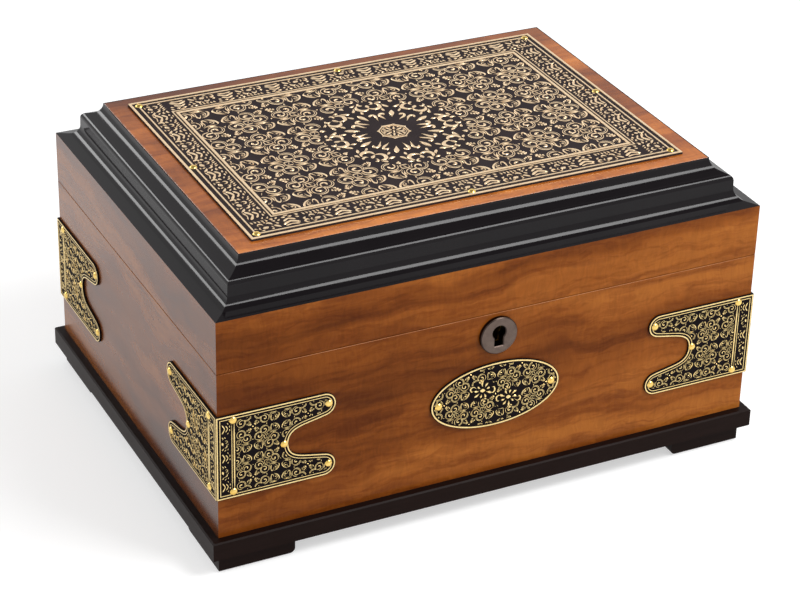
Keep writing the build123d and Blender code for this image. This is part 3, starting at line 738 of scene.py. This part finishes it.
def seam_painted_highlight():
    """The fine eased edge along the top of the case, on the three sides that show it: a raised strip that
    carries a painted highlight.
    """
    low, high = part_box("case_front")[0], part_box("case_back")[1]
    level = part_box("case_front")[1].z / MM - SEAM_DROP
    sides = case_sides()
    for way in ("front", "left", "right"):
        start, end = sorted((sides[way].flat(low)[0], sides[way].flat(high)[0]))
        path = bent((start + SEAM_END, level), (end - SEAM_END, level), 0, 24)
        relief = Relief(SEAM_HALF)
        relief.ribbon(path, np.full(len(path), SEAM_HALF), RIDGE)
        relief.piece(f"case_seam_painted_highlight_{way}", sides[way], "case", [ARRIS_PAINTED_HIGHLIGHT], "figured_veneer")


def spray():
    """Half of the oval's middle: a full leafy bloom on a curled stem."""
    shapes = [drop((-1.6, 0.2), (1.6, -0.2), 1.5, section=RIDGE, fullest=0.5)]
    for i in range(9):
        heading = math.radians(40 * i + 12)
        way = np.array([math.cos(heading), math.sin(heading)])
        shapes.append(drop(way * 2.2, way * (4.6 + 0.7 * (i % 3)), 0.75, 0.3))
    shapes.append(hook([(4.0, -1.0), (6.2, -2.6), (7.6, -1.2), (7.0, 0.9), (5.6, 1.0)], 0.55))
    shapes.append(hook([(-3.6, 1.8), (-5.8, 3.6), (-7.6, 2.6), (-7.0, 0.8), (-5.8, 1.2)], 0.55))
    shapes += fan((0.4, -4.2), math.radians(-75), 3.6, 0.55, 0.7, 3)
    shapes += fan((-0.6, 4.4), math.radians(105), 3.2, 0.55, 0.7, 3)
    return shapes


def oval_plate():
    """The relief of the oval plaque: the scroll field, with a leafy bloom to each side of its middle."""
    low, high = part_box("oval_plaque")
    face = Face(((low.x + high.x) / 2, low.y, (low.z + high.z) / 2), (1, 0, 0), (0, 0, 1))
    loop = outline("oval_plaque", face)
    spots = clear_of(centres_of("case_plate_nails", face), CASE_NAIL_ROOM)
    relief = Relief(CASE_RISE, OVAL_WEIGHT)
    line(relief, loop, *OVAL_LINE)
    inside = between(loop, OVAL_MARGIN, math.inf, spots)

    def keep(points):
        gaps = [np.linalg.norm((points - place) / SPRAY_ROOM, axis=1) for place in SPRAYS]
        return inside(points) & (np.min(gaps, axis=0) > 1)

    lattice(relief, loop, np.zeros(2), SMALL, keep)
    for place, turn in zip(SPRAYS, (0, math.pi)):
        stamp(relief, spray(), place, inside, turn=turn)
    relief.piece("oval_scrollwork", face, "case", [GILT_CASE, BLACKENED])


# ---------------------------------------------------------------- materials


class Paint:
    """A node material being built."""

    def __init__(self, name):
        self.material = bpy.data.materials.new(name)
        self.material.use_nodes = True
        self.nodes = self.material.node_tree.nodes
        self.links = self.material.node_tree.links
        self.shader = self.nodes["Principled BSDF"]

    def node(self, kind, inputs=(), **settings):
        """A node with its settings, and inputs given as values or as other nodes' outputs."""
        made = self.nodes.new(kind)
        for name, value in settings.items():
            setattr(made, name, value)
        for key, value in dict(inputs).items():
            self.feed(made.inputs[key], value)
        return made

    def feed(self, socket, value):
        """Links a node's output to a socket, or sets the socket to a value."""
        if isinstance(value, bpy.types.NodeSocket):
            self.links.new(value, socket)
        else:
            socket.default_value = value

    def wander(self, scale, reach):
        """The point in the shared frame, drifted to and fro by a soft noise."""
        place = self.node("ShaderNodeTexCoord").outputs["Object"]
        noise = self.node("ShaderNodeTexNoise", {"Vector": place, "Scale": scale, "Detail": 2.0})
        around = self.vector("SUBTRACT", {0: noise.outputs["Color"], 1: (0.5, 0.5, 0.5)})
        drift = self.vector("SCALE", {0: around, "Scale": reach})
        return self.vector("ADD", {0: place, 1: drift})

    def vector(self, operation, inputs):
        """The result of one step of vector arithmetic."""
        return self.node("ShaderNodeVectorMath", inputs, operation=operation).outputs[0]

    def where(self, scale=(1, 1, 1), turn=(0, 0, 0), place=None):
        """The point in the shared frame, or another point, stretched and turned."""
        place = place or self.node("ShaderNodeTexCoord").outputs["Object"]
        mapping = self.node("ShaderNodeMapping", {"Vector": place, "Scale": scale, "Rotation": turn})
        return mapping.outputs["Vector"]

    def noise(self, place, scale, detail=4.0, rough=0.5, warp=0.0):
        """A noise about 0.5, with so many cells to the metre."""
        inputs = {"Vector": place, "Scale": scale, "Detail": detail, "Roughness": rough}
        inputs["Distortion"] = warp
        return self.node("ShaderNodeTexNoise", inputs).outputs["Fac"]

    def ramp(self, value, stops):
        """Colours at positions along a value."""
        made = self.node("ShaderNodeValToRGB", {"Fac": value})
        elements = made.color_ramp.elements
        while len(elements) < len(stops):
            elements.new(0.5)
        for element, (position, colour) in zip(elements, stops):
            element.position = position
            element.color = (*colour, 1)
        return made.outputs["Color"]

    def between(self, value, low, high, from_low=0.0, from_high=1.0):
        """A value brought from one range to another."""
        inputs = {"Value": value, "From Min": from_low, "From Max": from_high}
        inputs.update({"To Min": low, "To Max": high})
        return self.node("ShaderNodeMapRange", inputs).outputs["Result"]

    def mix(self, share, a, b, kind="MIX"):
        """Two colours mixed by a share of the second."""
        made = self.node("ShaderNodeMix", data_type="RGBA", blend_type=kind)
        self.feed(made.inputs[0], share)
        self.feed(made.inputs[6], a if isinstance(a, bpy.types.NodeSocket) else (*a, 1))
        self.feed(made.inputs[7], b if isinstance(b, bpy.types.NodeSocket) else (*b, 1))
        return made.outputs[2]

    def bump(self, height, strength, distance):
        """The normal that a height gives."""
        inputs = {"Height": height, "Strength": strength, "Distance": distance}
        return self.node("ShaderNodeBump", inputs).outputs["Normal"]

    def finish(self, **inputs):
        """Sets the shader's own sockets, named with underscores for spaces."""
        for key, value in inputs.items():
            self.feed(self.shader.inputs[key.replace("_", " ")], value)
        return self.material


WOOD_STOPS = (
    (0.0, (0.106, 0.026, 0.004)),
    (0.3, (0.172, 0.045, 0.006)),
    (0.65, (0.248, 0.070, 0.010)),
    (1.0, (0.345, 0.110, 0.018)),
)
STREAK_TINT = (0.54, 0.43, 0.42)
FINE_TINT = (0.64, 0.53, 0.48)
FIBRE_TINT = (0.7, 0.62, 0.58)


def figured_veneer(name, along, gloss, painted_light_level=1.0):
    """Glossy figured veneer: wavy dark streaks with the grain, and soft ripples across it. Its last argument
    paints shade below 1 and light above 1.
    """
    paint = Paint(name)
    long_way = {"x": (0.10, 1, 1), "y": (1, 0.10, 1)}[along]
    thin_way = {"x": (0.05, 1, 1), "y": (1, 0.05, 1)}[along]
    cross_way = {"x": (1, 0.22, 0.22), "y": (0.22, 1, 0.22)}[along]
    lean = (0, math.radians(24), 0)
    wavy = paint.wander(17, 0.026)
    curly = paint.wander(55, 0.009)
    flow = paint.noise(paint.where(long_way, place=wavy), 24, 3, 0.5, 0.6)
    streak = paint.noise(paint.where(thin_way, place=wavy), 90, 3, 0.55, 0.5)
    fine = paint.noise(paint.where(long_way, place=curly), 210, 4, 0.65, 0.5)
    ripple = paint.noise(paint.where(cross_way, lean, curly), 300, 2, 0.5, 1.5)
    base = paint.ramp(paint.between(flow, 0, 1, 0.32, 0.68), WOOD_STOPS)
    base = paint.mix(paint.between(streak, 0.6, 0, 0.36, 0.52), base, STREAK_TINT, "MULTIPLY")
    base = paint.mix(paint.between(fine, 0.6, 0, 0.38, 0.52), base, FINE_TINT, "MULTIPLY")
    # The ripples' figure, times the painted light level: painted shade below 1, painted light above 1.
    light = paint.between(ripple, 0.92 * painted_light_level, 1.10 * painted_light_level, 0.3, 0.7)
    ripple_and_painted_light = paint.node("ShaderNodeCombineColor", {0: light, 1: light, 2: light}).outputs[0]
    base = paint.mix(1.0, base, ripple_and_painted_light, "MULTIPLY")
    rough = paint.between(streak, 0.2, 0.3)
    normal = paint.bump(fine, 0.05, 0.0002)
    return paint.finish(Base_Color=base, Roughness=rough, Normal=normal, Specular_IOR_Level=gloss)


def lacquer(name):
    """Polished black lacquer with the faintest unevenness."""
    paint = Paint(name)
    cloud = paint.noise(paint.where(), 30, 3)
    colour = paint.mix(cloud, (0.003, 0.002, 0.003), (0.008, 0.006, 0.007))
    rough = paint.between(cloud, 0.07, 0.12)
    normal = paint.bump(paint.noise(paint.where(), 60, 2), 0.03, 0.0002)
    return paint.finish(Base_Color=colour, Roughness=rough, Normal=normal, Specular_IOR_Level=0.17)


def satin_black(name):
    """Black-stained wood with a satin sheen and closed grain."""
    paint = Paint(name)
    grain = paint.noise(paint.where((0.1, 0.1, 1)), 500, 4, 0.6)
    colour = paint.mix(grain, (0.007, 0.003, 0.002), (0.013, 0.006, 0.005))
    rough = paint.between(grain, 0.3, 0.42)
    normal = paint.bump(grain, 0.12, 0.0002)
    return paint.finish(Base_Color=colour, Roughness=rough, Normal=normal, Specular_IOR_Level=0.05)


def bare_wood(name, dark, light, along):
    """Planed unfinished wood: cedar lining or core board."""
    paint = Paint(name)
    long_way = {"x": (0.06, 1, 1), "y": (1, 0.06, 1)}[along]
    ring = paint.noise(paint.where(long_way), 90, 5, 0.55, 0.7)
    fibre = paint.noise(paint.where(long_way), 1500, 3, 0.6)
    colour = paint.mix(paint.between(ring, 0, 1, 0.3, 0.7), dark, light)
    colour = paint.mix(paint.between(fibre, 0.3, 0, 0.35, 0.6), colour, FIBRE_TINT, "MULTIPLY")
    rough = paint.between(fibre, 0.55, 0.75)
    normal = paint.bump(fibre, 0.25, 0.0003)
    return paint.finish(Base_Color=colour, Roughness=rough, Normal=normal, Specular_IOR_Level=0.3)


def metal(name, dull, bright, rough_low, rough_high, scale=300, amount=1.0):
    """Metal with a mottled tone and an uneven polish."""
    paint = Paint(name)
    mottle = paint.noise(paint.where(), scale, 4, 0.6)
    colour = paint.mix(paint.between(mottle, 0, 1, 0.3, 0.7), dull, bright)
    rough = paint.between(mottle, rough_low, rough_high, 0.3, 0.7)
    normal = paint.bump(mottle, 0.1, 0.0001)
    return paint.finish(Base_Color=colour, Roughness=rough, Metallic=amount, Normal=normal)


def gunmetal(name):
    """Bronzed metal on its front face, with painted shade: its sides and its keyhole are coloured near black
    by the way they face.
    """
    paint = Paint(name)
    place = paint.node("ShaderNodeTexCoord").outputs["Normal"]
    split = paint.node("ShaderNodeSeparateXYZ", {0: place})
    facing = paint.node("ShaderNodeMath", {0: split.outputs["Y"]}, operation="ABSOLUTE").outputs[0]
    front = paint.between(facing, 0, 1, 0.6, 0.95)
    mottle = paint.noise(paint.where(), 300, 4, 0.6)
    bronze = paint.mix(paint.between(mottle, 0, 1, 0.3, 0.7), (0.098, 0.071, 0.060), (0.142, 0.106, 0.088))
    # Painted shade: faces that do not look along the front take a near black in place of the bronze.
    colour = paint.mix(front, (0.020, 0.013, 0.011), bronze)
    rough = paint.between(mottle, 0.3, 0.42, 0.3, 0.7)
    normal = paint.bump(mottle, 0.1, 0.0001)
    return paint.finish(Base_Color=colour, Roughness=rough, Metallic=1.0, Normal=normal)


def arris(name):
    """The eased edge at the seam, coloured light brown as a painted highlight."""
    paint = Paint(name)
    painted_highlight = paint.noise(paint.where(), 60, 3)
    # Painted highlight: light browns, lighter than the veneer beside them.
    colour = paint.mix(painted_highlight, (0.30, 0.10, 0.03), (0.60, 0.28, 0.12))
    rough = paint.between(painted_highlight, 0.2, 0.35)
    return paint.finish(Base_Color=colour, Roughness=rough, Specular_IOR_Level=0.3)


def blackened(name, dark, light):
    """The plates' dark ground, with a fine stipple."""
    paint = Paint(name)
    stipple = paint.noise(paint.where(), 1800, 3, 0.6)
    cloud = paint.noise(paint.where(), 60, 3)
    colour = paint.mix(cloud, dark, light)
    rough = paint.between(stipple, 0.5, 0.7)
    normal = paint.bump(stipple, 0.3, 0.0001)
    return paint.finish(Base_Color=colour, Roughness=rough, Normal=normal, Specular_IOR_Level=0.03)


def black_felt(name):
    """Short black felt."""
    paint = Paint(name)
    fuzz = paint.noise(paint.where(), 2500, 4, 0.7)
    colour = paint.mix(fuzz, (0.006, 0.006, 0.006), (0.03, 0.03, 0.03))
    normal = paint.bump(fuzz, 0.5, 0.0004)
    return paint.finish(Base_Color=colour, Roughness=0.95, Normal=normal, Sheen_Weight=0.3)


def dress_nodes():
    """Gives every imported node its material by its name."""
    cedar = ((0.36, 0.16, 0.075), (0.60, 0.34, 0.19))
    finishes = {
        "veneer_x": figured_veneer("veneer_long", "x", 0.08),
        # The side boards' copy is darkened as painted shade, and the top panel's copy is brightened as
        # painted light.
        "veneer_y": figured_veneer("veneer_side_painted_shade", "y", 0.48, 0.76),
        "veneer_top_painted_light": figured_veneer("veneer_top_painted_light", "x", 0.2, 1.6),
        "lacquer": lacquer("black_lacquer"),
        "satin": satin_black("satin_black"),
        "cedar_x": bare_wood("cedar_long", *cedar, "x"),
        "cedar_y": bare_wood("cedar_side", *cedar, "y"),
        "core": bare_wood("core_board", (0.34, 0.23, 0.14), (0.50, 0.37, 0.25), "x"),
        "nails": metal("nail_brass", (0.72, 0.46, 0.10), (0.95, 0.70, 0.24), 0.16, 0.28),
        "brass": metal("fitting_brass", (0.62, 0.44, 0.16), (0.80, 0.60, 0.27), 0.26, 0.38),
        "gunmetal": gunmetal("bronzed_gunmetal_painted_shade"),
        "steel": metal("plated_steel", (0.42, 0.42, 0.43), (0.6, 0.6, 0.6), 0.25, 0.4),
        "felt": black_felt("black_felt"),
        "plate": BLACKENED,
        "plate_lid": BLACKENED_LID,
    }
    for name, node in frame["nodes"].items():
        finish = finishes[finish_of(name)]
        node.data.materials.clear()
        node.data.materials.append(finish)
        node.data.polygons.foreach_set("use_smooth", [True] * len(node.data.polygons))


def finish_of(name):
    """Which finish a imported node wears."""
    sideways_board = name.endswith(("_left", "_right"))
    if name.startswith(("case_lining", "lid_lining")):
        return "cedar_y" if sideways_board else "cedar_x"
    if name in ("case_bottom", "lid_core_board"):
        return "core"
    if "moulding" in name:
        return "lacquer"
    if name == "foot_pads":
        return "felt"
    if name.startswith(("plinth", "foot")):
        return "satin"
    if "nails" in name:
        return "nails"
    if "screws" in name or name.startswith(("hinge", "lock_cover", "lock_case")):
        return "brass"
    if name == "lid_plate":
        return "plate_lid"
    if name.startswith(("corner_plate", "oval")):
        return "plate"
    if name == "keyhole_escutcheon":
        return "gunmetal"
    if name.startswith("lock"):
        return "steel"
    if name == "lid_top_panel":
        return "veneer_top_painted_light"
    return "veneer_y" if sideways_board else "veneer_x"


# ---------------------------------------------------------------- studio


def camera():
    """The main view: a long lens from above the front left."""
    position = Vector((-0.580887, -1.153550, 0.793613))
    forward = Vector((0.393283, 0.778364, -0.489365)).normalized()
    right = Vector((0.898125, -0.439121, 0.023340)).normalized()
    up = right.cross(forward)
    data = bpy.data.cameras.new("camera")
    data.sensor_width = 36
    data.lens = 112.85
    data.clip_end = 50
    eye = bpy.data.objects.new("camera", data)
    turn = Matrix((right, up, -forward)).transposed()
    eye.matrix_world = Matrix.Translation(position) @ turn.to_4x4()
    bpy.context.scene.collection.objects.link(eye)
    bpy.context.scene.camera = eye


def softbox(name, place, target, size, power):
    """A soft rectangular lamp turned to a target."""
    data = bpy.data.lights.new(name, "AREA")
    data.shape = "RECTANGLE"
    data.size, data.size_y = size
    data.energy = power
    lamp = bpy.data.objects.new(name, data)
    lamp.location = place
    lamp.rotation_euler = (Vector(target) - Vector(place)).to_track_quat("-Z", "Y").to_euler()
    bpy.context.scene.collection.objects.link(lamp)


def floor():
    """A plain white floor that shows white to the eye and in reflections, and keeps the shadow."""
    reach = 6
    corners = [(-reach, -reach, 0), (reach, -reach, 0), (reach, reach, 0), (-reach, reach, 0)]
    mesh = bpy.data.meshes.new("floor")
    mesh.from_pydata(corners, [], [(0, 1, 2, 3)])
    ground = bpy.data.objects.new("floor", mesh)
    bpy.context.scene.collection.objects.link(ground)
    paint = Paint("floor_white")
    path = paint.node("ShaderNodeLightPath").outputs
    seen = path["Is Camera Ray"]
    for kind in ("Is Glossy Ray", "Is Transmission Ray"):
        seen = paint.node("ShaderNodeMath", {0: seen, 1: path[kind]}, operation="MAXIMUM").outputs[0]
    lift = paint.between(seen, 0.0, 0.52)
    paint.finish(Base_Color=(0.61, 0.61, 0.61, 1), Roughness=0.9, Specular_IOR_Level=0.0)
    paint.finish(Emission_Color=(1, 1, 1, 1), Emission_Strength=lift)
    mesh.materials.append(paint.material)


def world():
    """A pale room, brighter towards the horizon than overhead."""
    made = bpy.data.worlds.new("studio")
    bpy.context.scene.world = made
    made.use_nodes = True
    nodes = made.node_tree.nodes
    links = made.node_tree.links
    back = nodes["Background"]
    way = nodes.new("ShaderNodeTexCoord")
    split = nodes.new("ShaderNodeSeparateXYZ")
    ramp = nodes.new("ShaderNodeValToRGB")
    links.new(way.outputs["Generated"], split.inputs[0])
    links.new(split.outputs["Z"], ramp.inputs["Fac"])
    links.new(ramp.outputs["Color"], back.inputs["Color"])
    ramp.color_ramp.elements[0].position = 0.55
    ramp.color_ramp.elements[0].color = (1, 1, 1, 1)
    ramp.color_ramp.elements[1].position = 0.85
    ramp.color_ramp.elements[1].color = (0.3, 0.3, 0.3, 1)
    back.inputs["Strength"].default_value = 1.0


def lights():
    """A large key above the front right, and a broad lamp behind the left side."""
    chest = (0, 0, 0.1)
    softbox("key", (0.62, -0.78, 1.25), chest, (0.7, 0.5), 17)
    softbox("left_back", (-1.0, 1.6, 0.8), chest, (0.9, 0.35), 8)


# ---------------------------------------------------------------- the scene

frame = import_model()
GILT = metal("gilt_relief", (0.80, 0.56, 0.33), (0.95, 0.74, 0.48), 0.26, 0.38, 400, 0.8)
GILT_CASE = metal("gilt_relief_case", (0.80, 0.58, 0.24), (0.96, 0.75, 0.35), 0.22, 0.32, 400, 0.85)
BLACKENED = blackened("blackened_ground", (0.004, 0.003, 0.004), (0.011, 0.008, 0.009))
BLACKENED_LID = blackened("blackened_ground_lid", (0.020, 0.015, 0.016), (0.038, 0.028, 0.029))
ARRIS_PAINTED_HIGHLIGHT = arris("painted_highlight_arris")
dress_nodes()
lid_plate()
corner_plates()
seam_painted_highlight()
oval_plate()
bpy.context.scene.view_settings.view_transform = "Standard"
camera()
world()
lights()
floor()
